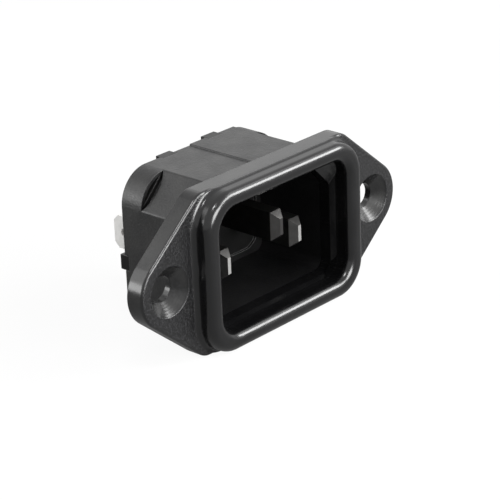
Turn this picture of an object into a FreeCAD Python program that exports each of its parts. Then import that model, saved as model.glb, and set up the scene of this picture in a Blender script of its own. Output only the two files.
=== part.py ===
import FreeCAD, Part
import math
import os

# A panel power inlet with a screw flange, for the 2-pole and earth appliance
# coupler of the 10 A class. All sizes are in millimetres. The origin is the
# centre of the flange's rear face, which lies on the panel. X runs to the right
# as the user sees the front, Y runs back into the panel and Z points up.

# Recess that the connector plugs into
RECESS_WIDTH = 24.5
RECESS_HEIGHT = 16.9
RECESS_CHAMFER = 4.1
RECESS_BOTTOM_RADIUS = 1.5
RECESS_EDGE_RADIUS = 0.5
RECESS_DRAFT = 0.15          # narrowing of each wall between the mouth and the floor
RECESS_DEPTH = 16.1          # from the lip to the floor

# Mouth, a little wider than the recess, with a funnel between the two
MOUTH_SIDE_STEP = 0.35
MOUTH_END_STEP = 0.25
MOUTH_CORNER_RADIUS = 3.0
MOUTH_DEPTH = 1.7
FUNNEL_DEPTH = 1.9
FUNNEL_FLARE = 0.4           # how far the funnel's open end stands outside the mouth

# Collar round the mouth
COLLAR_SIDE_WALL = 2.9
COLLAR_END_WALL = 2.6
COLLAR_PROJECTION = 2.5      # ahead of the flange's front face
COLLAR_CORNER_RADIUS = 4.8
COLLAR_BASE_RADIUS = 0.8
COLLAR_DRAFT = 0.3           # narrowing of each side between the panel and the lip
LIP_FLAT = 0.06              # flat left between the lip's two roundings

# Flange, as high as the collar
FLANGE_THICKNESS = 2.6
FLANGE_CORNER_INSET = 2.3    # from the collar's side to the centre of the corner arc
FLANGE_CORNER_RADIUS = 2.8
FLANGE_EDGE_RADIUS = 0.4
SCREW_OFFSET = 4.5           # from the collar's side, which gives the standard 40 spacing
SCREW_HOLE_DIAMETER = 3.5
COUNTERSINK_DIAMETER = 6.86
COUNTERSINK_ANGLE = 90.0
EAR_RIM = 1.57               # flat ring left round each countersink

# Body behind the flange
BODY_SIDE_WALL = 0.95
BODY_END_WALL = 1.95
BODY_CHAMFER_WALL = 1.84
BODY_BOTTOM_RADIUS = 3.0
BODY_EDGE_RADIUS = 0.4
SKIRT_LENGTH = 3.6           # rear stretch that has rounded top corners
SKIRT_CORNER_RADIUS = 4.7
SKIRT_WALL = 0.5
POCKET_DEPTH = 0.7           # below the chamfer, ahead of and under the skirt's corner
POCKET_REACH = 0.9           # how far it bulges ahead of the skirt
TOP_STEP_HEIGHT = 0.2
TOP_STEP_EDGE = 0.0          # X of the step that runs along the top
TOP_STEP_CHAMFER = 0.12

# Contact carrier that closes the back of the recess
CARRIER_THICKNESS = 1.4
CARRIER_LAND = 0.35          # ledge that the carrier seats on, all round
CARRIER_GAP = 0.05
FLOOR_PAN_DEPTH = 0.4
FLOOR_PAN_MARGIN = 0.9
FLOOR_PAN_RADIUS = 2.4
LUG_PROUD = 1.0
LUG_SEAT = 0.7               # depth of the notch in the rear rim
LUG_ROOT = 1.2               # how far each lug reaches in over the plate
LUG_GAP = 0.05
LUG_EDGE_RADIUS = 0.25
TOP_LUG_WIDTH = 2.6
TOP_LUG_SPACING = 8.7
SIDE_LUG_WIDTH = 2.2
SIDE_LUG_HEIGHT = -2.2       # Z of the side lugs

# Contacts
PIN_PITCH = 14.0             # line to neutral
EARTH_OFFSET = 4.0           # earth above the line of the other two
LINE_HEIGHT = -1.4           # Z of the line and neutral pins
BLADE_HEIGHT = 4.0
BLADE_THICKNESS = 2.0
BLADE_GAP = 0.03
TIP_LENGTH = 1.1
TIP_HEIGHT = 2.3
TIP_THICKNESS = 0.55
LINE_SETBACK = 4.45          # from the lip to the tips of line and neutral
EARTH_SETBACK = 1.4          # from the lip to the tip of earth
SHOULDER_MARGIN = 0.8        # above and below the blade
SHOULDER_LENGTH = 0.9
TAB_HEIGHT = 4.8
TAB_THICKNESS = 0.8
TAB_LENGTH = 7.9             # from the carrier's back to the tab's end
TAB_HOLE_DIAMETER = 1.4
TAB_HOLE_SETBACK = 2.0
TAB_CORNER = 0.8
TAB_WAIST = 0.7              # how far each edge is drawn in next to the shoulder

MOUTH_WIDTH = RECESS_WIDTH + 2 * MOUTH_SIDE_STEP
MOUTH_HEIGHT = RECESS_HEIGHT + 2 * MOUTH_END_STEP
COLLAR_WIDTH = MOUTH_WIDTH + 2 * COLLAR_SIDE_WALL
FLANGE_HEIGHT = MOUTH_HEIGHT + 2 * COLLAR_END_WALL
LIP_RADIUS = (min(COLLAR_SIDE_WALL, COLLAR_END_WALL) - COLLAR_DRAFT - LIP_FLAT) / 2
HOLE_SPACING = COLLAR_WIDTH + 2 * SCREW_OFFSET
FLAT_RUN = COLLAR_WIDTH - 2 * FLANGE_CORNER_INSET
EAR_RADIUS = COUNTERSINK_DIAMETER / 2 + EAR_RIM
BODY_WIDTH = RECESS_WIDTH + 2 * BODY_SIDE_WALL
BODY_HEIGHT = RECESS_HEIGHT + 2 * BODY_END_WALL

FLANGE_FRONT = -FLANGE_THICKNESS
LIP_FRONT = FLANGE_FRONT - COLLAR_PROJECTION
FLOOR_FRONT = LIP_FRONT + RECESS_DEPTH
BODY_DEPTH = FLOOR_FRONT + CARRIER_THICKNESS
SKIRT_START = BODY_DEPTH - SKIRT_LENGTH
SMALL = 0.01


def point(x, y, z):
    return FreeCAD.Vector(x, y, z)


def run(wire, start, end):
    """Solid made by running a closed outline in the XZ plane along Y."""
    face = Part.Face(wire)
    moved = face.translated(point(0, start - wire.BoundBox.YMin, 0))
    return moved.extrude(point(0, end - start, 0))


def polygon(corners, y=0.0):
    points = [point(x, y, z) for x, z in corners]
    return Part.makePolygon(points + [points[0]])


def tapered(first, start, last, end):
    """Solid between two outlines whose matching sides are parallel, so every side is flat."""
    near = [point(x, start, z) for x, z in first]
    far = [point(x, end, z) for x, z in last]
    loops = [near, far]
    for i in range(len(near)):
        j = (i + 1) % len(near)
        loops.append([near[i], near[j], far[j], far[i]])
    faces = [Part.Face(Part.makePolygon(loop + [loop[0]])) for loop in loops]
    solid = Part.makeSolid(Part.makeShell(faces))
    if solid.Volume < 0:
        solid.reverse()
    return solid


def edges_along_y(solid):
    """Edges that run from front to back, straight or slightly drafted."""
    chosen = []
    for edge in solid.Edges:
        if len(edge.Vertexes) < 2:
            continue
        step = edge.Vertexes[-1].Point - edge.Vertexes[0].Point
        if abs(step.y) > 0.9 * step.Length:
            chosen.append(edge)
    return chosen


def edges_at(solid, y, tolerance=SMALL):
    """Edges that lie wholly in the plane at this Y."""
    chosen = []
    for edge in solid.Edges:
        box = edge.BoundBox
        if abs(box.YMin - y) < tolerance and abs(box.YMax - y) < tolerance:
            chosen.append(edge)
    return chosen


def rectangle_corners(width, height):
    x, z = width / 2, height / 2
    return [(-x, -z), (x, -z), (x, z), (-x, z)]


def rounded_block(width, height, radius, start, end):
    """Block with four rounded corners that runs along Y."""
    block = run(polygon(rectangle_corners(width, height)), start, end)
    return block.makeFillet(radius, edges_along_y(block))


def coupler_corners(width, height, chamfer):
    """Coupler outline: a rectangle with its two top corners cut at 45 degrees."""
    x, z = width / 2, height / 2
    return [
        (-x, -z),
        (x, -z),
        (x, z - chamfer),
        (x - chamfer, z),
        (-x + chamfer, z),
        (-x, z - chamfer),
    ]


def round_coupler_edges(solid, bottom_radius, top_radius):
    """Round the lower corners, and ease the four edges of the chamfers."""
    middle = solid.BoundBox.Center.z
    lower = [e for e in edges_along_y(solid) if e.CenterOfMass.z < middle]
    solid = solid.makeFillet(bottom_radius, lower)
    upper = [e for e in edges_along_y(solid) if e.CenterOfMass.z > middle]
    return solid.makeFillet(top_radius, upper)


def drafted_coupler(start_size, end_size, start, end):
    """Coupler outline that narrows from one (width, height, chamfer) to another."""
    return tapered(coupler_corners(*start_size), start, coupler_corners(*end_size), end)


def tangent_points():
    """Where the flange's slope leaves the corner arc and meets the ear's arc."""
    corner = (FLAT_RUN / 2, FLANGE_HEIGHT / 2 - FLANGE_CORNER_RADIUS)
    ear = (HOLE_SPACING / 2, 0.0)
    across, down = ear[0] - corner[0], ear[1] - corner[1]
    span = math.hypot(across, down)
    turn = math.acos((FLANGE_CORNER_RADIUS - EAR_RADIUS) / span)
    angle = math.atan2(down, across) + turn
    cosine, sine = math.cos(angle), math.sin(angle)
    upper = (corner[0] + FLANGE_CORNER_RADIUS * cosine, corner[1] + FLANGE_CORNER_RADIUS * sine)
    lower = (ear[0] + EAR_RADIUS * cosine, ear[1] + EAR_RADIUS * sine)
    middle = (math.pi / 2 + angle) / 2
    bend = (
        corner[0] + FLANGE_CORNER_RADIUS * math.cos(middle),
        corner[1] + FLANGE_CORNER_RADIUS * math.sin(middle),
    )
    return bend, upper, lower


def flange_outline():
    """Outline with a round ear at each screw, straight slopes and flat top and bottom."""
    top = (FLAT_RUN / 2, FLANGE_HEIGHT / 2)
    bend, upper, lower = tangent_points()
    ear_end = HOLE_SPACING / 2 + EAR_RADIUS

    def at(pair, sx, sz):
        return point(sx * pair[0], 0, sz * pair[1])

    edges = []
    for sz in (1, -1):
        edges.append(Part.makeLine(at(top, -1, sz), at(top, 1, sz)))
        for sx in (1, -1):
            arc = Part.Arc(at(top, sx, sz), at(bend, sx, sz), at(upper, sx, sz))
            edges.append(arc.toShape())
            edges.append(Part.makeLine(at(upper, sx, sz), at(lower, sx, sz)))
    for sx in (1, -1):
        ear = Part.Arc(at(lower, sx, 1), point(sx * ear_end, 0, 0), at(lower, sx, -1))
        edges.append(ear.toShape())
    return Part.Wire(Part.__sortEdges__(edges))


def drafted_collar():
    """Collar that narrows from the panel's plane to the lip, with the lip's outer rounding."""
    lip = rectangle_corners(COLLAR_WIDTH - 2 * COLLAR_DRAFT, FLANGE_HEIGHT - 2 * COLLAR_DRAFT)
    base = rectangle_corners(COLLAR_WIDTH, FLANGE_HEIGHT)
    collar = tapered(lip, LIP_FRONT, base, 0.0)
    collar = collar.makeFillet(COLLAR_CORNER_RADIUS, edges_along_y(collar))
    return collar.makeFillet(LIP_RADIUS, edges_at(collar, LIP_FRONT))


def within(edge, half_width, half_height):
    """Whether an edge lies inside a rectangle round the Y axis."""
    box = edge.BoundBox
    wide = max(abs(box.XMin), abs(box.XMax)) <= half_width
    return wide and max(abs(box.ZMin), abs(box.ZMax)) <= half_height


def flange_and_collar():
    """Flange with its collar, and the concave fillet where the two meet."""
    plate = rounded_block(
        2 * COLLAR_WIDTH, 2 * FLANGE_HEIGHT, COLLAR_CORNER_RADIUS, FLANGE_FRONT, 0.0
    )
    blank = plate.fuse(drafted_collar())
    foot = [
        e for e in edges_at(blank, FLANGE_FRONT)
        if within(e, COLLAR_WIDTH / 2, FLANGE_HEIGHT / 2)
    ]
    blank = blank.makeFillet(COLLAR_BASE_RADIUS, foot)

    outline = run(flange_outline(), FLANGE_FRONT, 0.0)
    outline = outline.makeFillet(FLANGE_EDGE_RADIUS, edges_at(outline, FLANGE_FRONT))
    zone = rounded_block(
        COLLAR_WIDTH + 2 * COLLAR_BASE_RADIUS, FLANGE_HEIGHT, COLLAR_CORNER_RADIUS,
        LIP_FRONT - 1.0, 0.0,
    )
    return blank.common(outline.fuse(zone))


def screw_hole(x):
    """Through hole with its countersink, cut from the front."""
    back = point(0, 1, 0)
    radius = SCREW_HOLE_DIAMETER / 2
    hole = Part.makeCylinder(radius, FLANGE_THICKNESS + 2, point(x, FLANGE_FRONT - 1, 0), back)
    slope = math.tan(math.radians(COUNTERSINK_ANGLE / 2))
    depth = (COUNTERSINK_DIAMETER / 2 - radius) / slope
    sink = Part.makeCone(COUNTERSINK_DIAMETER / 2, radius, depth, point(x, FLANGE_FRONT, 0), back)
    return hole.fuse(sink)


def body_chamfer():
    """Chamfer that leaves the same wall all along the recess's own chamfer."""
    spread = (BODY_WIDTH + BODY_HEIGHT - RECESS_WIDTH - RECESS_HEIGHT) / 2
    return RECESS_CHAMFER + spread - math.sqrt(2) * BODY_CHAMFER_WALL


def body_core(start, end):
    """Body section with its chamfered top corners, without rounded edges."""
    corners = coupler_corners(BODY_WIDTH, BODY_HEIGHT, body_chamfer())
    return run(polygon(corners), start, end)


def rear_skirt():
    """Rear stretch whose top corners are rounded, with a crescent gap inside each."""
    skirt = rounded_block(BODY_WIDTH, BODY_HEIGHT, SKIRT_CORNER_RADIUS, SKIRT_START, BODY_DEPTH)
    inner = rounded_block(
        BODY_WIDTH - 2 * SKIRT_WALL, BODY_HEIGHT - 2 * SKIRT_WALL,
        SKIRT_CORNER_RADIUS - SKIRT_WALL, SKIRT_START - 1, BODY_DEPTH + 1,
    )
    return skirt.cut(inner.cut(body_core(SKIRT_START - 2, BODY_DEPTH + 2)))


def corner_pocket(side):
    """Shallow pocket in a chamfer, bulging ahead of the skirt as part of a circle."""
    chamfer = body_chamfer()
    half_chord = chamfer / math.sqrt(2)
    radius = (half_chord ** 2 + POCKET_REACH ** 2) / (2 * POCKET_REACH)
    outward = point(side, 0, 1)
    outward.normalize()
    middle = point(side * (BODY_WIDTH - chamfer) / 2, 0, (BODY_HEIGHT - chamfer) / 2)
    centre = middle + point(0, SKIRT_START - POCKET_REACH + radius, 0)
    disc = Part.makeCylinder(radius, POCKET_DEPTH, centre - outward * POCKET_DEPTH, outward)
    limit = Part.makeBox(
        2 * half_chord, BODY_DEPTH + 1, 2 * half_chord,
        point(-half_chord, 0, -half_chord),
    )
    limit.rotate(point(0, 0, 0), point(0, 1, 0), 45)
    return disc.common(limit.translated(point(middle.x, 0, middle.z)))


def top_step():
    """Right half of the top, which stands slightly higher than the left."""
    width = BODY_WIDTH / 2 - body_chamfer() - TOP_STEP_EDGE
    height = 2 * TOP_STEP_HEIGHT
    corner = point(TOP_STEP_EDGE, FLANGE_FRONT / 2, BODY_HEIGHT / 2 - TOP_STEP_HEIGHT)
    step = Part.makeBox(width, BODY_DEPTH - FLANGE_FRONT / 2, height, corner)
    long_edges = [e for e in edges_along_y(step) if e.CenterOfMass.z > BODY_HEIGHT / 2]
    return step.makeChamfer(TOP_STEP_CHAMFER, long_edges)


def body():
    """Body behind the flange: chamfered at the top, with rounded rear corners."""
    core = body_core(FLANGE_FRONT / 2, BODY_DEPTH)
    core = round_coupler_edges(core, BODY_BOTTOM_RADIUS, BODY_EDGE_RADIUS)
    for side in (-1, 1):
        core = core.cut(corner_pocket(side))
    return core.fuse(rear_skirt()).fuse(top_step())


def recess_size(share):
    """Recess section at a share of the way from the mouth (0) to the floor (1)."""
    inset = RECESS_DRAFT * share
    return (
        RECESS_WIDTH - 2 * inset,
        RECESS_HEIGHT - 2 * inset,
        RECESS_CHAMFER - inset * (2 - math.sqrt(2)),
    )


def recess():
    """Everything that is hollow ahead of the carrier: mouth, funnel and recess."""
    mouth_end = LIP_FRONT + MOUTH_DEPTH
    funnel_end = mouth_end + FUNNEL_DEPTH
    mouth = rounded_block(
        MOUTH_WIDTH, MOUTH_HEIGHT, MOUTH_CORNER_RADIUS, LIP_FRONT - 1, mouth_end + SMALL
    )
    flare = 2 * FUNNEL_FLARE
    large = (MOUTH_WIDTH + flare, MOUTH_HEIGHT + flare, MOUTH_CORNER_RADIUS / 2)
    funnel = drafted_coupler(large, recess_size(0.0), mouth_end, funnel_end)
    limit = rounded_block(
        MOUTH_WIDTH, MOUTH_HEIGHT, MOUTH_CORNER_RADIUS, mouth_end - 1, funnel_end + 1
    )
    funnel = funnel.common(limit)
    well = drafted_coupler(recess_size(0.0), recess_size(1.0), funnel_end, BODY_DEPTH + 1)
    well = round_coupler_edges(well, RECESS_BOTTOM_RADIUS, RECESS_EDGE_RADIUS)
    return mouth.fuse(funnel).fuse(well)


def carrier_size(gap):
    """Outline of the carrier's plate, or with no gap of the rebate that holds it."""
    inset = RECESS_DRAFT - CARRIER_LAND + gap
    return (
        RECESS_WIDTH - 2 * inset,
        RECESS_HEIGHT - 2 * inset,
        RECESS_CHAMFER - inset * (2 - math.sqrt(2)),
    )


def carrier_plate(gap, start, end):
    plate = run(polygon(coupler_corners(*carrier_size(gap))), start, end)
    return round_coupler_edges(plate, RECESS_BOTTOM_RADIUS, RECESS_EDGE_RADIUS)


def lug_places():
    """Centre, direction and width of each lug: two above, two below, one each side."""
    half = TOP_LUG_SPACING / 2
    places = []
    for x in (-half, half):
        places.append(((x, 0.0), (0, 1), TOP_LUG_WIDTH))
        places.append(((x, 0.0), (0, -1), TOP_LUG_WIDTH))
    for side in (-1, 1):
        places.append(((0.0, SIDE_LUG_HEIGHT), (side, 0), SIDE_LUG_WIDTH))
    return places


def lug_bar(place, gap, start, end, overrun):
    """Bar from inside the carrier's plate out to the body's surface."""
    centre, direction, width = place
    wide = width - 2 * gap
    inner = 0.5 * RECESS_WIDTH if direction[0] else 0.5 * RECESS_HEIGHT
    inner -= LUG_ROOT
    reach = BODY_WIDTH / 2 if direction[0] else BODY_HEIGHT / 2
    if direction[1] > 0 and centre[0] > TOP_STEP_EDGE:
        reach += TOP_STEP_HEIGHT
    length = reach + overrun - inner
    middle = inner + length / 2
    if direction[0]:
        size = (length, wide)
        spot = (direction[0] * middle, centre[1])
    else:
        size = (wide, length)
        spot = (centre[0], direction[1] * middle)
    corner = point(spot[0] - size[0] / 2, start, spot[1] - size[1] / 2)
    return Part.makeBox(size[0], end - start, size[1], corner)


def front_housing():
    """One moulding: flange, collar, recess walls, body and rear skirt."""
    housing = flange_and_collar().fuse(body())
    housing = housing.cut(recess())
    housing = housing.cut(carrier_plate(0.0, FLOOR_FRONT, BODY_DEPTH + 1))
    for place in lug_places():
        notch = lug_bar(place, 0.0, BODY_DEPTH - LUG_SEAT, BODY_DEPTH + 1, 1.0)
        housing = housing.cut(notch)
    for side in (-1, 1):
        housing = housing.cut(screw_hole(side * HOLE_SPACING / 2))
    housing = housing.removeSplitter()
    rim = [
        e for e in edges_at(housing, LIP_FRONT)
        if within(e, MOUTH_WIDTH / 2 + SMALL, MOUTH_HEIGHT / 2 + SMALL)
    ]
    return housing.makeFillet(LIP_RADIUS, rim)


def contact_places():
    """Centre and tip position of each contact."""
    line_tip = LIP_FRONT + LINE_SETBACK
    earth_tip = LIP_FRONT + EARTH_SETBACK
    return {
        "line_contact": (-PIN_PITCH / 2, LINE_HEIGHT, line_tip),
        "neutral_contact": (PIN_PITCH / 2, LINE_HEIGHT, line_tip),
        "earth_contact": (0.0, LINE_HEIGHT + EARTH_OFFSET, earth_tip),
    }


def blade_slot(x, z):
    """Slot in the carrier that a blade is pressed through."""
    wide = BLADE_THICKNESS + 2 * BLADE_GAP
    tall = BLADE_HEIGHT + 2 * BLADE_GAP
    corner = point(x - wide / 2, FLOOR_FRONT - 1, z - tall / 2)
    return Part.makeBox(wide, BODY_DEPTH - FLOOR_FRONT + 3, tall, corner)


def floor_pan():
    """Shallow pan in the floor, with the rounded corners seen inside the recess."""
    margin = 2 * (FLOOR_PAN_MARGIN + RECESS_DRAFT)
    width, height = RECESS_WIDTH - margin, RECESS_HEIGHT - margin
    chamfer = RECESS_CHAMFER - FLOOR_PAN_MARGIN * (2 - math.sqrt(2))
    corners = coupler_corners(width, height, chamfer)
    pan = run(polygon(corners), FLOOR_FRONT - 1, FLOOR_FRONT + FLOOR_PAN_DEPTH)
    return round_coupler_edges(pan, FLOOR_PAN_RADIUS, FLOOR_PAN_RADIUS / 2)


def contact_carrier():
    """Plate that closes the recess, holds the contacts and keys into the rear rim."""
    carrier = carrier_plate(CARRIER_GAP, FLOOR_FRONT, BODY_DEPTH)
    seat = BODY_DEPTH - LUG_SEAT
    for place in lug_places():
        bar = lug_bar(place, LUG_GAP, seat, BODY_DEPTH + LUG_PROUD, 0.0)
        end_edges = edges_at(bar, BODY_DEPTH + LUG_PROUD)
        carrier = carrier.fuse(bar.makeFillet(LUG_EDGE_RADIUS, end_edges))
    carrier = carrier.cut(floor_pan())
    for x, z, _tip in contact_places().values():
        carrier = carrier.cut(blade_slot(x, z))
    return carrier.removeSplitter()


def blade(tip):
    """Flat pin with its bevelled tip."""
    nose_end = tip + TIP_LENGTH
    section = rectangle_corners(BLADE_THICKNESS, BLADE_HEIGHT)
    nose = tapered(rectangle_corners(TIP_THICKNESS, TIP_HEIGHT), tip, section, nose_end)
    return nose.fuse(run(polygon(section), nose_end, BODY_DEPTH))


def tab():
    """Quick-connect tab behind the shoulder, waisted, pierced and pointed."""
    start = BODY_DEPTH + SHOULDER_LENGTH
    end = BODY_DEPTH + TAB_LENGTH
    full = TAB_HEIGHT / 2
    waist = full - TAB_WAIST
    step = start + TAB_CORNER
    side = [
        (start, waist),
        (step, waist),
        (step + TAB_CORNER / 2, full),
        (end - TAB_CORNER, full),
        (end, full - TAB_CORNER),
    ]
    outline = side + [(y, -z) for y, z in reversed(side)]
    points = [point(-TAB_THICKNESS / 2, y, z) for y, z in outline]
    face = Part.Face(Part.makePolygon(points + [points[0]]))
    blank = face.extrude(point(TAB_THICKNESS, 0, 0))
    hole = Part.makeCylinder(
        TAB_HOLE_DIAMETER / 2, 2 * TAB_THICKNESS,
        point(-TAB_THICKNESS, end - TAB_HOLE_SETBACK, 0), point(1, 0, 0),
    )
    return blank.cut(hole)


def contact(x, z, tip):
    """One stamped contact: blade, shoulder behind the carrier, and tab."""
    height = BLADE_HEIGHT + 2 * SHOULDER_MARGIN
    corner = point(-BLADE_THICKNESS / 2, BODY_DEPTH, -height / 2)
    shoulder = Part.makeBox(BLADE_THICKNESS, SHOULDER_LENGTH, height, corner)
    whole = blade(tip).fuse(shoulder).fuse(tab()).removeSplitter()
    return whole.translated(point(x, 0, z))


def save(name, shape):
    if shape.ShapeType != "Solid":
        shape = shape.Solids[0] if len(shape.Solids) == 1 else shape
    print(name, shape.ShapeType, len(shape.Solids), shape.isValid(), round(shape.Volume, 2))
    shape.exportStep(os.path.join("parts", name + ".step"))


os.makedirs("parts", exist_ok=True)
save("front_housing", front_housing())
save("contact_carrier", contact_carrier())
for contact_name, (pin_x, pin_z, pin_tip) in contact_places().items():
    save(contact_name, contact(pin_x, pin_z, pin_tip))
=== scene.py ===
import math
import bpy
from mathutils import Matrix, Vector


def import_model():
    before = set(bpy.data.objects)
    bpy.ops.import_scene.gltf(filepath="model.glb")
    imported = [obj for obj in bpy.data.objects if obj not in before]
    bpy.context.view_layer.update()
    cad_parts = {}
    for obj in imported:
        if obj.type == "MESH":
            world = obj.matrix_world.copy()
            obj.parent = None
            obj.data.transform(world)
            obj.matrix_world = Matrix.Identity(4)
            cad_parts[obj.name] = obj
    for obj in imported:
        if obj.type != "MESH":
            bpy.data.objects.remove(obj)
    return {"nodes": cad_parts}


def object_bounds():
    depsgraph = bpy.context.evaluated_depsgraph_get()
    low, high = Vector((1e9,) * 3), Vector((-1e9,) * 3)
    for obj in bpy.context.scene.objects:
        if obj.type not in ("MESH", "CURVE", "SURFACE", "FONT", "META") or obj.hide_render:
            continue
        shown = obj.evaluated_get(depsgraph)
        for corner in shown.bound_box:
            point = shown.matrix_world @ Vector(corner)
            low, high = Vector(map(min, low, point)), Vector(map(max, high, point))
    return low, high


# The looks of a black panel power inlet: procedural materials on its solids,
# a studio and the camera. Blender works in metres, on the axes of the solids:
# X to the right seen from the front, Y back through the panel, Z up.

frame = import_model()
cad_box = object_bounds()

MM = 0.001

# Camera, fitted to the photograph: angles in degrees, lens and sensor in millimetres
CAMERA_AZIMUTH = -47.05
CAMERA_ELEVATION = 22.92
CAMERA_ROLL = -2.31
CAMERA_DISTANCE = 0.2713
CAMERA_TARGET = (-0.00102, 0.00116, -0.00163)
CAMERA_LENS = 147.2
SENSOR_WIDTH = 36.0
CLIP_START = 0.01
CLIP_END = 10.0

# Floor of matte paper. It is pale to the camera and darker to bounced and mirrored light,
# which gives the black plastic its contrast.
FLOOR_REACH = 2.0              # from the middle to each side
PAPER_SEEN = (0.96, 0.96, 0.96, 1)
PAPER_MIRRORED = (0.30, 0.30, 0.30, 1)
FLOOR_WHITE_SEEN = 0.93        # share of plain white that is mixed in
FLOOR_WHITE_MIRRORED = 0.10

# World: a weak light on the part, white where it is seen or mirrored
WHITE = (1, 1, 1, 1)
WORLD_LIGHT = 0.12
WORLD_SEEN = 1.0

# Soft lamps: name, place, width and height, power in watts
LAMPS = [
    ("front_right", (0.30, -0.355, 0.278), (0.42, 0.17), 3.5),
    ("front_low", (0.0, -0.46, 0.11), (0.28, 0.22), 3.1),
    ("front_left_high", (-0.22, -0.20, 0.52), (0.16, 0.09), 1.1),
    ("top_right", (0.40, -0.22, 0.38), (0.34, 0.30), 0.7),
    ("back_left_high", (-0.36, 0.44, 0.36), (0.30, 0.34), 0.7),
    ("back_left_low", (-0.50, 0.42, 0.11), (0.30, 0.20), 1.4),
    ("back_right", (0.55, 0.51, 0.33), (0.50, 0.40), 0.22),
]
LAMP_AIM = Vector((0.0, 0.0, 0.0))

# Places on the part that its finishes follow
FLANGE_FRONT = -2.6 * MM
HOLE_OFFSET = 20.0 * MM
COUNTERSINK_RADIUS = 3.43 * MM
RECESS_SIDE = 12.7 * MM        # X just outside the recess's walls
RECESS_END = 9.1 * MM          # Z just outside them
RECESS_CORNER = 17.9 * MM      # X plus Z just outside its chamfers

# Stretches over which one finish turns into the next. The first is a distance from the
# flange's front, the others are Y: at the flange's rounded edge, just past the panel's face,
# and at the carrier's back, where a pin becomes its tab.
OFF_THE_FRONT = (0.02 * MM, 0.08 * MM)
ROUND_THE_EDGE = (FLANGE_FRONT + 0.1 * MM, FLANGE_FRONT + 0.4 * MM)
PAST_THE_PANEL = (0.1 * MM, 0.4 * MM)
PAST_THE_CARRIER = (12.0 * MM, 12.6 * MM)

# Housing: blacks and greys of its nylon, and the greys of its painted glints and painted edge
# highlights
DEEP_BLACK = (0.0026, 0.0026, 0.0028, 1)
SOFT_BLACK = (0.0042, 0.0042, 0.0045, 1)
# painted glints of the grain, partly paler polished peaks
GLINT_FLECK_GREY = (0.016, 0.016, 0.017, 1)
HAZE_GREY = (0.016, 0.016, 0.0155, 1)
# painted highlight along the edges, where they would catch the lamps
EDGE_HIGHLIGHT_GREY = (0.034, 0.034, 0.035, 1)

# Housing: size of its marks
HOUSING_ROUNDING = 0.14 * MM
DRIFT_SIZE = 6.0 * MM          # from one black to the other
HAZE_SIZE = 3.5 * MM
FLECK_SIZE = 0.29 * MM
EDGE_HIGHLIGHT_BREAK_SIZE = 0.25 * MM           # breaks in the painted highlight line of an edge
SMEAR_SIZE = 2.2 * MM          # patches that are glossier or duller
RING_PITCH = 0.30 * MM         # turned rings in the countersinks
WAVE_SIZE = 5.0 * MM           # slow waves of a moulded wall
SKIN_SIZE = 0.35 * MM          # faint texture of the body
GRAIN_SIZE = 0.24 * MM         # spark-eroded grain of the flange's front

# Housing: noise values between which the flecks and the haze come in, and how much shows
FLECK_STEP = (0.47, 0.62)
HAZE_STEP = (0.38, 0.66)
OUTER_FLECKS = 0.5             # share of the flecks that the body has, set against the front
EDGE_HIGHLIGHT_SHARE = (0.1, 0.7)      # of the painted highlight line of an edge, where it is broken and where it isn't

# Housing: roughness of the rim and collar, and what smears and each zone add to it
SMOOTH = 0.20
SMEARS = (-0.03, 0.04)
GRAIN_DULLS = 0.04
SKIN_DULLS = 0.20
RINGS_DULL = 0.05

# Housing: height of each relief, and the share of it that shows
RING_HEIGHT = 0.0025 * MM
RING_SHARE = 0.5
WAVE_HEIGHT = 0.03 * MM
WAVE_SHARE = 0.10
SKIN_HEIGHT = 0.04 * MM
SKIN_SHARE = (0.15, 1.0)       # ahead of the panel and behind it
GRAIN_HEIGHT = 0.10 * MM
GRAIN_SHARE = 0.7

# Carrier: dull black with painted highlights along its edges
CARRIER_BLACK = (0.0045, 0.0045, 0.0046, 1)
CARRIER_CLOUD = (0.0070, 0.0070, 0.0070, 1)
CARRIER_EDGE_HIGHLIGHT = (0.16, 0.16, 0.16, 1)
CARRIER_ROUNDING = 0.12 * MM
CARRIER_CLOUD_SIZE = 3.0 * MM
CARRIER_SMEAR_SIZE = 1.0 * MM
CARRIER_GRAIN_SIZE = 0.2 * MM
CARRIER_GRAIN_HEIGHT = 0.01 * MM
CARRIER_GRAIN_SHARE = 0.2
CARRIER_ROUGHNESS = (0.32, 0.38)
CARRIER_SPECULAR = 0.2

# Contacts: plated strip. The pins' nickel comes in lit and shaded copies: a painted highlight on the
# ends, and painted shade on the sides and on the whole earth pin
PIN_END_HIGHLIGHT = (0.95, 0.94, 0.92, 1)
PIN_SIDE_SHADE = (0.14, 0.138, 0.134, 1)
# painted shade: the earth pin's nickel darkened as it sits in the recess
EARTH_PIN_SHADE = (0.09, 0.088, 0.086, 1)
CLEAN_TIN = (0.86, 0.855, 0.84, 1)
DULL_TIN = (0.74, 0.735, 0.72, 1)
BLOTCH_SIZE = 1.2 * MM
BLOTCH_SHADE = 0.75            # share of its light that a side keeps in a blotch
ROLLING_SIZE = 0.12 * MM
ROLLING_STRETCH = (1.0, 0.03, 1.0)
ROLLING_HEIGHT = 0.004 * MM
ROLLING_SHARE = 0.25
SIDE_ROUGHNESS = (0.28, 0.38)
PIN_END_ROUGHNESS = 0.16
EARTH_END_ROUGHNESS = 0.34
END_SPREAD = 0.03              # how far an end's roughness strays either way
TAB_ROUGHNESS = 0.5
FACING_COSINE = (0.9, 0.99)    # turned away by 26 degrees, and by 8

# Nodes
NOISE_RANGE = (0.3, 0.7)       # most values of a noise lie between these
BEVEL_SAMPLES = 6
EDGE_COSINE = (0.75, 0.99)     # between the true and the rounded face: on an edge, and on a flat
FIRST_COLOUR = 6               # a mix node's sockets, when it mixes colours
SECOND_COLOUR = 7
MIXED_COLOUR = 2


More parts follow.
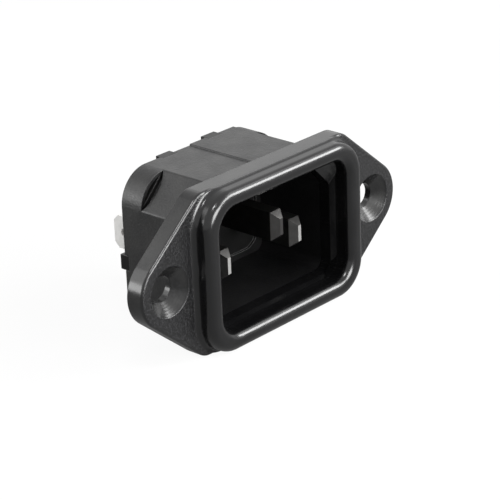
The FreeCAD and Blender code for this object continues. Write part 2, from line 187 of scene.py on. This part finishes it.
class Nodes:
    """Short ways to add and link the nodes of a material or of the world."""

    def __init__(self, tree):
        self.tree = tree

    def sockets(self, name):
        """Inputs of a node that Blender puts in by itself."""
        return self.tree.nodes[name].inputs

    def feed(self, value, socket):
        """Link an output to a socket, or set the socket to a plain value."""
        if isinstance(value, bpy.types.NodeSocket):
            self.tree.links.new(value, socket)
        else:
            socket.default_value = value

    def add(self, kind, feeds=None, **settings):
        """New node with its settings, and what is fed to each of its sockets."""
        node = self.tree.nodes.new(kind)
        for name, value in settings.items():
            setattr(node, name, value)
        for socket, value in (feeds or {}).items():
            self.feed(value, node.inputs[socket])
        return node

    def place(self):
        """A point's place on the part, in metres."""
        return self.add("ShaderNodeTexCoord").outputs["Object"]

    def axes(self):
        """X, Y and Z of that place."""
        return list(self.add("ShaderNodeSeparateXYZ", {0: self.place()}).outputs)

    def calculate(self, operation, first, second=0.0):
        """One step of arithmetic on outputs or plain numbers."""
        return self.add("ShaderNodeMath", {0: first, 1: second}, operation=operation).outputs[0]

    def chain(self, operation, values):
        """One operation carried through any number of values."""
        result = values[0]
        for value in values[1:]:
            result = self.calculate(operation, result, value)
        return result

    def total(self, *values):
        return self.chain("ADD", values)

    def product(self, *values):
        return self.chain("MULTIPLY", values)

    def highest(self, *values):
        return self.chain("MAXIMUM", values)

    def spread(self, value, low, high, start=NOISE_RANGE[0], end=NOISE_RANGE[1]):
        """From low to high as the value goes from start to end, and held past them."""
        feeds = {"Value": value, "From Min": start, "From Max": end, "To Min": low, "To Max": high}
        return self.add("ShaderNodeMapRange", feeds).outputs[0]

    def ramp(self, value, start, end):
        """From 0 to 1 as the value goes from start to end."""
        return self.spread(value, 0.0, 1.0, start, end)

    def noise(self, size, detail=3.0, roughness=0.5, stretch=(1.0, 1.0, 1.0)):
        """Noise whose features are about this size in metres."""
        place = self.add("ShaderNodeMapping", {"Vector": self.place(), "Scale": stretch}).outputs[0]
        feeds = {"Vector": place, "Scale": 1.0 / size, "Detail": detail, "Roughness": roughness}
        return self.add("ShaderNodeTexNoise", feeds).outputs["Fac"]

    def cloud(self, size):
        """Soft patches between 0 and 1."""
        return self.ramp(self.noise(size), *NOISE_RANGE)

    def blend(self, share, first, second):
        """The first colour, and a share of the second over it."""
        feeds = {"Factor": share, FIRST_COLOUR: first, SECOND_COLOUR: second}
        return self.add("ShaderNodeMix", feeds, data_type="RGBA").outputs[MIXED_COLOUR]

    def rounding(self, radius):
        """Normal that rounds the edges off, and a mask that is 0 on a flat and 1 on an edge."""
        rounded = self.add("ShaderNodeBevel", {"Radius": radius}, samples=BEVEL_SAMPLES).outputs[0]
        normal = self.add("ShaderNodeNewGeometry").outputs["Normal"]
        cosine = self.add("ShaderNodeVectorMath", {0: rounded, 1: normal}, operation="DOT_PRODUCT")
        return rounded, self.spread(cosine.outputs["Value"], 1.0, 0.0, *EDGE_COSINE)

    def bump(self, height, distance, strength, under=None):
        """Relief of this height in metres, on top of the normal under it."""
        feeds = {"Height": height, "Distance": distance, "Strength": strength}
        node = self.add("ShaderNodeBump", feeds)
        if under is not None:
            self.feed(under, node.inputs["Normal"])
        return node.outputs[0]


def new_material(name):
    """Material with a Principled shader, what adds nodes to it, and the shader's sockets."""
    material = bpy.data.materials.new(name)
    material.use_nodes = True
    nodes = Nodes(material.node_tree)
    return material, nodes, nodes.sockets("Principled BSDF")


def front_face(nodes):
    """1 on the flange's textured front, 0 elsewhere."""
    _x, y, _z = nodes.axes()
    away = nodes.calculate("ABSOLUTE", nodes.calculate("SUBTRACT", y, FLANGE_FRONT))
    return nodes.spread(away, 1.0, 0.0, *OFF_THE_FRONT)


def screw_distance(nodes):
    """Distance from the axis of the nearer screw hole."""
    x, _y, z = nodes.axes()
    across = nodes.calculate("SUBTRACT", nodes.calculate("ABSOLUTE", x), HOLE_OFFSET)
    return nodes.calculate("SQRT", nodes.total(nodes.product(across, across), nodes.product(z, z)))


def outer_skin(nodes):
    """1 on the flange's edge and holes and on the body's outside, 0 in the recess and on the collar."""
    x, y, z = nodes.axes()
    across = nodes.calculate("ABSOLUTE", x)
    past_side = nodes.calculate("GREATER_THAN", across, RECESS_SIDE)
    past_end = nodes.calculate("GREATER_THAN", nodes.calculate("ABSOLUTE", z), RECESS_END)
    past_corner = nodes.calculate("GREATER_THAN", nodes.total(across, z), RECESS_CORNER)
    outside = nodes.highest(past_side, past_end, past_corner)
    return nodes.product(outside, nodes.ramp(y, *ROUND_THE_EDGE))


def facing_front(nodes):
    """1 on faces that look straight to the front or back, 0 on those turned away."""
    normal = nodes.add("ShaderNodeNewGeometry").outputs["True Normal"]
    along = nodes.add("ShaderNodeSeparateXYZ", {0: normal}).outputs["Y"]
    return nodes.ramp(nodes.calculate("ABSOLUTE", along), *FACING_COSINE)


def housing_colour(nodes, front, outer, edge_highlight):
    """Black that drifts, with pale flecks of painted glint and paler peaks, a haze on the outside, and
    painted highlights along the edges.
    """
    black = nodes.blend(nodes.cloud(DRIFT_SIZE), DEEP_BLACK, SOFT_BLACK)
    # pale flecks of painted glint, partly paler polished peaks of the grain
    glint_flecks = nodes.ramp(nodes.noise(FLECK_SIZE, detail=1.0), *FLECK_STEP)
    where = nodes.highest(front, nodes.product(outer, OUTER_FLECKS))
    glint_flecked = nodes.blend(nodes.product(glint_flecks, where), black, GLINT_FLECK_GREY)
    haze = nodes.ramp(nodes.noise(HAZE_SIZE, detail=4.0, roughness=0.6), *HAZE_STEP)
    hazy = nodes.blend(nodes.product(haze, outer), glint_flecked, HAZE_GREY)
    broken = nodes.spread(nodes.noise(EDGE_HIGHLIGHT_BREAK_SIZE, detail=4.0), *EDGE_HIGHLIGHT_SHARE)
    # painted edge highlight, broken here and there
    return nodes.blend(nodes.product(edge_highlight, broken), hazy, EDGE_HIGHLIGHT_GREY)


def housing_roughness(nodes, front, behind, sunk):
    """Glossy on the rim and collar, and duller on each of these zones."""
    smear = nodes.spread(nodes.noise(SMEAR_SIZE, detail=5.0), *SMEARS)
    zones = ((front, GRAIN_DULLS), (behind, SKIN_DULLS), (sunk, RINGS_DULL))
    return nodes.total(*(nodes.product(zone, extra) for zone, extra in zones), smear, SMOOTH)


def housing_relief(nodes, front, behind, sunk, radius, rounded):
    """Rings in the countersinks, slow waves all over, skin on the body and grain on the front."""
    rings = nodes.calculate("SINE", nodes.product(radius, 2 * math.pi / RING_PITCH))
    turned = nodes.bump(rings, RING_HEIGHT, nodes.product(sunk, RING_SHARE), rounded)
    wavy = nodes.bump(nodes.noise(WAVE_SIZE, detail=1.0), WAVE_HEIGHT, WAVE_SHARE, turned)
    skin = nodes.noise(SKIN_SIZE, detail=3.0, roughness=0.6)
    faint = nodes.bump(skin, SKIN_HEIGHT, nodes.spread(behind, *SKIN_SHARE, 0.0, 1.0), wavy)
    grain = nodes.noise(GRAIN_SIZE, detail=4.0, roughness=0.6)
    return nodes.bump(grain, GRAIN_HEIGHT, nodes.product(front, GRAIN_SHARE), faint)


def housing_plastic():
    """Satin black nylon: spark-eroded grain on the front, smooth rim and collar, duller body."""
    material, nodes, shader = new_material("housing_plastic")
    _x, y, _z = nodes.axes()
    front = front_face(nodes)
    behind = nodes.ramp(y, *PAST_THE_PANEL)
    outer = outer_skin(nodes)
    radius = screw_distance(nodes)
    sunk = nodes.calculate("LESS_THAN", radius, COUNTERSINK_RADIUS)
    rounded, edge_highlight = nodes.rounding(HOUSING_ROUNDING)
    nodes.feed(housing_colour(nodes, front, outer, edge_highlight), shader["Base Color"])
    nodes.feed(housing_roughness(nodes, front, behind, sunk), shader["Roughness"])
    nodes.feed(housing_relief(nodes, front, behind, sunk, radius, rounded), shader["Normal"])
    return material


def carrier_plastic():
    """The carrier's dull black, with thin painted highlights along its edges."""
    material, nodes, shader = new_material("carrier_plastic")
    rounded, edge_highlight = nodes.rounding(CARRIER_ROUNDING)
    black = nodes.blend(nodes.cloud(CARRIER_CLOUD_SIZE), CARRIER_BLACK, CARRIER_CLOUD)
    smear = nodes.noise(CARRIER_SMEAR_SIZE, detail=5.0)
    grain = nodes.noise(CARRIER_GRAIN_SIZE, detail=4.0)
    # thin painted highlight along the edges
    nodes.feed(nodes.blend(edge_highlight, black, CARRIER_EDGE_HIGHLIGHT), shader["Base Color"])
    nodes.feed(CARRIER_SPECULAR, shader["Specular IOR Level"])
    nodes.feed(nodes.spread(smear, *CARRIER_ROUGHNESS), shader["Roughness"])
    nodes.feed(nodes.bump(grain, CARRIER_GRAIN_HEIGHT, CARRIER_GRAIN_SHARE, rounded), shader["Normal"])
    return material


def contact_metal(name, side, end, end_roughness):
    """Plated strip: a pin with rolled sides and a coined end, coloured with painted shade on the sides
    and, on the line and neutral pins, a painted highlight on the end, and a pale tinned tab behind it.
    """
    material, nodes, shader = new_material(name)
    _x, y, _z = nodes.axes()
    tab = nodes.ramp(y, *PAST_THE_CARRIER)
    facing = facing_front(nodes)
    lines = nodes.noise(ROLLING_SIZE, stretch=ROLLING_STRETCH)
    blotch = nodes.cloud(BLOTCH_SIZE)

    shaded = [BLOTCH_SHADE * value for value in side[:3]] + [1]
    # painted shade on the pin's sides, and the end's colour as given: a painted highlight on the line
    # and neutral pins
    pin = nodes.blend(facing, nodes.blend(blotch, side, shaded), end)
    nodes.feed(nodes.blend(tab, pin, nodes.blend(blotch, CLEAN_TIN, DULL_TIN)), shader["Base Color"])
    nodes.feed(1.0, shader["Metallic"])

    turned_away = nodes.calculate("SUBTRACT", 1.0, facing)
    rolled = nodes.product(nodes.spread(lines, *SIDE_ROUGHNESS), turned_away)
    coined = nodes.spread(lines, end_roughness - END_SPREAD, end_roughness + END_SPREAD)
    pin_roughness = nodes.total(rolled, nodes.product(coined, facing))
    nodes.feed(nodes.highest(pin_roughness, nodes.product(tab, TAB_ROUGHNESS)), shader["Roughness"])
    nodes.feed(nodes.bump(lines, ROLLING_HEIGHT, ROLLING_SHARE), shader["Normal"])
    return material


def contact_nickel():
    """The line and neutral contacts, whose pins have a painted highlight on their ends and painted
    shade on their sides.
    """
    return contact_metal("contact_nickel", PIN_SIDE_SHADE, PIN_END_HIGHLIGHT, PIN_END_ROUGHNESS)


def shaded_earth_nickel():
    """The earth contact's pin, darker all over as painted shade."""
    return contact_metal("shaded_earth_nickel", EARTH_PIN_SHADE, EARTH_PIN_SHADE, EARTH_END_ROUGHNESS)


def dress():
    """Give each solid its material."""
    nickel = contact_nickel()
    finishes = {
        "front_housing": housing_plastic(),
        "contact_carrier": carrier_plastic(),
        "line_contact": nickel,
        "neutral_contact": nickel,
        "earth_contact": shaded_earth_nickel(),
    }
    for name, material in finishes.items():
        frame["nodes"][name].material_slots[0].material = material


def add_object(name, data):
    """New object of the scene."""
    thing = bpy.data.objects.new(name, data)
    bpy.context.scene.collection.objects.link(thing)
    return thing


def white_share(nodes, to_camera, to_reflections):
    """Share of white that a surface shows to the camera, and in gloss and glass."""
    path = nodes.add("ShaderNodeLightPath").outputs
    seen = nodes.product(path["Is Camera Ray"], to_camera)
    bent = nodes.highest(path["Is Glossy Ray"], path["Is Transmission Ray"])
    return nodes.total(seen, nodes.product(bent, to_reflections))


def floor_paper():
    """Matte paper, with plain white mixed in where it is seen or mirrored."""
    material, nodes, _shader = new_material("floor_paper")
    nodes.tree.nodes.remove(nodes.tree.nodes["Principled BSDF"])
    seen = nodes.add("ShaderNodeLightPath").outputs["Is Camera Ray"]
    colour = nodes.blend(seen, PAPER_MIRRORED, PAPER_SEEN)
    matte = nodes.add("ShaderNodeBsdfDiffuse", {"Color": colour}).outputs[0]
    white = nodes.add("ShaderNodeEmission").outputs[0]
    share = white_share(nodes, FLOOR_WHITE_SEEN, FLOOR_WHITE_MIRRORED)
    mixed = nodes.add("ShaderNodeMixShader", {0: share, 1: matte, 2: white}).outputs[0]
    nodes.feed(mixed, nodes.sockets("Material Output")["Surface"])
    return material


def floor():
    """Pale floor under the part that turns white to the camera and keeps a soft shadow."""
    low = cad_box[0][2]
    sides = ((-1, -1), (1, -1), (1, 1), (-1, 1))
    corners = [(FLOOR_REACH * x, FLOOR_REACH * y, low) for x, y in sides]
    mesh = bpy.data.meshes.new("floor")
    mesh.from_pydata(corners, [], [(0, 1, 2, 3)])
    mesh.materials.append(floor_paper())
    thing = add_object("floor", mesh)


def world():
    """White all round where it is seen or mirrored, and a weak light on the part."""
    studio = bpy.data.worlds.new("studio")
    studio.use_nodes = True
    nodes = Nodes(studio.node_tree)
    background = nodes.sockets("Background")
    nodes.feed(WHITE, background["Color"])
    strength = nodes.spread(white_share(nodes, 1.0, 1.0), WORLD_LIGHT, WORLD_SEEN, 0.0, 1.0)
    nodes.feed(strength, background["Strength"])
    bpy.context.scene.world = studio


def softbox(name, place, size, power):
    """Rectangular lamp that faces the part."""
    data = bpy.data.lights.new(name, "AREA")
    data.shape = "RECTANGLE"
    data.size, data.size_y = size
    data.energy = power
    thing = add_object(name, data)
    direction = LAMP_AIM - Vector(place)
    thing.location = place
    thing.rotation_euler = direction.to_track_quat("-Z", "Y").to_euler()


def lights():
    """All the soft lamps."""
    for lamp in LAMPS:
        softbox(*lamp)


def camera():
    """The photograph's viewpoint: turned and raised about its target, and rolled a little."""
    angles = (CAMERA_AZIMUTH, CAMERA_ELEVATION, CAMERA_ROLL)
    azimuth, elevation, roll = (math.radians(angle) for angle in angles)
    back = Vector((
        math.sin(azimuth) * math.cos(elevation),
        -math.cos(azimuth) * math.cos(elevation),
        math.sin(elevation),
    ))
    level = Vector((math.cos(azimuth), math.sin(azimuth), 0.0))
    up = back.cross(level)
    rolled_right = math.cos(roll) * level + math.sin(roll) * up
    rolled_up = math.cos(roll) * up - math.sin(roll) * level
    turn = Matrix((rolled_right, rolled_up, back)).transposed().to_4x4()
    turn.translation = Vector(CAMERA_TARGET) + back * CAMERA_DISTANCE

    data = bpy.data.cameras.new("camera")
    data.lens = CAMERA_LENS
    data.sensor_width = SENSOR_WIDTH
    data.clip_start = CLIP_START
    data.clip_end = CLIP_END
    thing = add_object("camera", data)
    thing.matrix_world = turn
    bpy.context.scene.camera = thing


dress()
floor()
world()
lights()
camera()
bpy.context.scene.view_settings.view_transform = "Standard"
